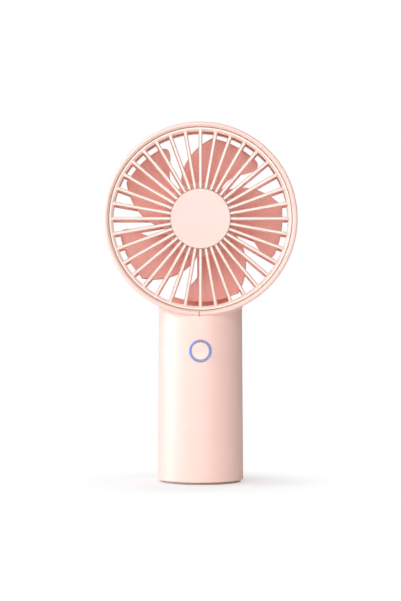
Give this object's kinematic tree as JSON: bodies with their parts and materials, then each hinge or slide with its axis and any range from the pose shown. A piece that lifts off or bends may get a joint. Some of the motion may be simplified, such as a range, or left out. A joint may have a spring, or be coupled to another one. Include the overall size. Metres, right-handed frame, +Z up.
{
  "type": "handheld electric fan",
  "caption": "Handheld electric fan: a round head with radial-rib grilles and a bladed impeller, on a straight hollow handle with a lit push button.",
  "frame": {"origin": "centre of the flat face that the fan stands on, at the foot of the handle", "axes": "+Z up along the handle to the head, -Y to the front of the fan, where the air leaves, +X to the right as seen from the front; the impeller turns about a line parallel to Y through (0, 0, 0.151)"},
  "size_m": [0.11, 0.0497, 0.206],
  "materials": {
    "shell": "satin moulded, pale peach",
    "front_grille": "satin moulded, cream peach",
    "front_cap": "satin moulded, cream peach",
    "rear_grille": "satin moulded, pale peach",
    "rear_cap": "satin moulded, pale peach",
    "impeller": "satin moulded, coral",
    "ground_steel": "ground",
    "plated_steel": "zinc plated",
    "ferrite": "sintered",
    "spring_steel": "blued",
    "brass": "turned",
    "bronze": "sintered",
    "black_nylon": "moulded",
    "circuit_board": "solder mask over laminate",
    "electrical_steel": "stacked laminations",
    "copper_wire": "enamelled wire",
    "screw_steel": "zinc plated",
    "button": "satin moulded, pale peach",
    "light_ring": "translucent, lit blue",
    "black_switch": "moulded",
    "switch_plunger": "moulded",
    "led": "moulded lens",
    "black_epoxy": "moulded",
    "cell_wrap": "shrunk film",
    "nickel": "rolled strip",
    "natural_nylon": "moulded",
    "foot_cap": "moulded, pale peach",
    "foot_pad": "soft moulded, dull pink",
    "socket_steel": "drawn and nickel plated",
    "lead_grey": "extruded sleeve",
    "lead_black": "extruded insulation",
    "lead_red": "extruded insulation"
  },
  "bodies": {
    "body": {"main_body": "shell", "front_grille": "front_grille", "front_hub_cap": "front_cap", "rear_grille": "rear_grille", "rear_hub_cap": "rear_cap", "bearing_tube": "brass", "front_bush": "bronze", "rear_bush": "bronze", "motor_plate": "black_nylon", "motor_board": "circuit_board", "stator_core": "electrical_steel", "winding_1": "copper_wire", "winding_2": "copper_wire", "winding_3": "copper_wire", "winding_4": "copper_wire", "winding_5": "copper_wire", "winding_6": "copper_wire", "motor_screw_1": "screw_steel", "motor_screw_2": "screw_steel", "motor_screw_3": "screw_steel", "light_ring": "light_ring", "switch_body": "black_switch", "main_board": "circuit_board", "board_screw_1": "screw_steel", "board_screw_2": "screw_steel", "led_1": "led", "led_2": "led", "led_3": "led", "led_4": "led", "control_chip": "black_epoxy", "boost_inductor": "ferrite", "cell_left": "cell_wrap", "cell_right": "cell_wrap", "cell_link": "nickel", "tab_left": "nickel", "tab_right": "nickel", "battery_cradle": "natural_nylon", "foot_cap": "foot_cap", "foot_pad": "foot_pad", "foot_screw_1": "screw_steel", "foot_screw_2": "screw_steel", "foot_screw_3": "screw_steel", "usb_board": "circuit_board", "usb_socket": "socket_steel", "motor_lead": "lead_grey", "battery_lead_black": "lead_black", "battery_lead_red": "lead_red", "charge_lead_black": "lead_black", "charge_lead_red": "lead_red"},
    "rotor": {"impeller": "impeller", "motor_shaft": "ground_steel", "rotor_bell": "plated_steel", "magnet_ring": "ferrite", "shaft_clip": "spring_steel"},
    "button": {"power_button": "button"},
    "plunger": {"switch_plunger": "switch_plunger"}
  },
  "joints": [
    {"name": "impeller_spin", "type": "hinge", "parent": "body", "child": "rotor", "pos_m": [0, 0, 0.151], "axis": [0, 1, 0], "continuous": true},
    {"name": "button_press", "type": "slide", "parent": "body", "child": "button", "axis": [0, 1, 0], "range_m": [0, 0.0008], "stiffness_N_per_m": 600, "springref_m": -0.002},
    {"name": "switch_travel", "type": "slide", "parent": "body", "child": "plunger", "axis": [0, 1, 0], "range_m": [0, 0.0008]}
  ],
  "couplings": [
    {"joint": "switch_travel", "follows": "button_press", "ratio": 1}
  ]
}
